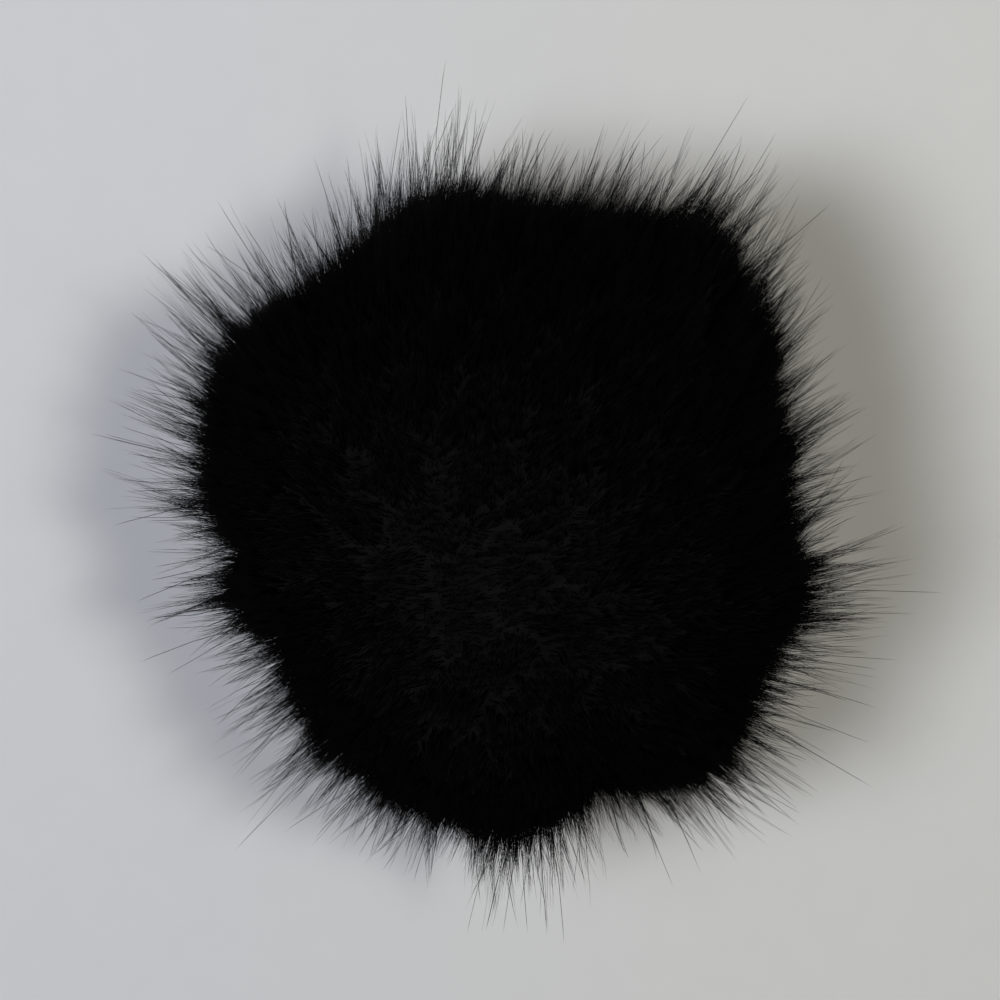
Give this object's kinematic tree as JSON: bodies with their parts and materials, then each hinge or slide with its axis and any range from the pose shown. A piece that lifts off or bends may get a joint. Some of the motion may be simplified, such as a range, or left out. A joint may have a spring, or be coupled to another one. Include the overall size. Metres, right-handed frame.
{
  "type": "fur pompom",
  "caption": "Round black fur pompom: long fine hairs in loose locks around a dense ball, flattened underneath where it is gathered, to be sewn onto a hat, bag or key ring.",
  "frame": {"origin": "centre of the flat gathered underside, on the surface that the pompom rests on", "axes": "+Z up, out of the underside towards the crown; +Y is up in the picture, which looks straight down on the crown, and +X is to its right"},
  "size_m": [0.0726, 0.0748, 0.0586],
  "materials": {
    "black_fur": "long-pile fur, matt black with a faint sheen along the hairs"
  },
  "bodies": {
    "root": {"fur_ball": "black_fur"}
  },
  "joints": []
}
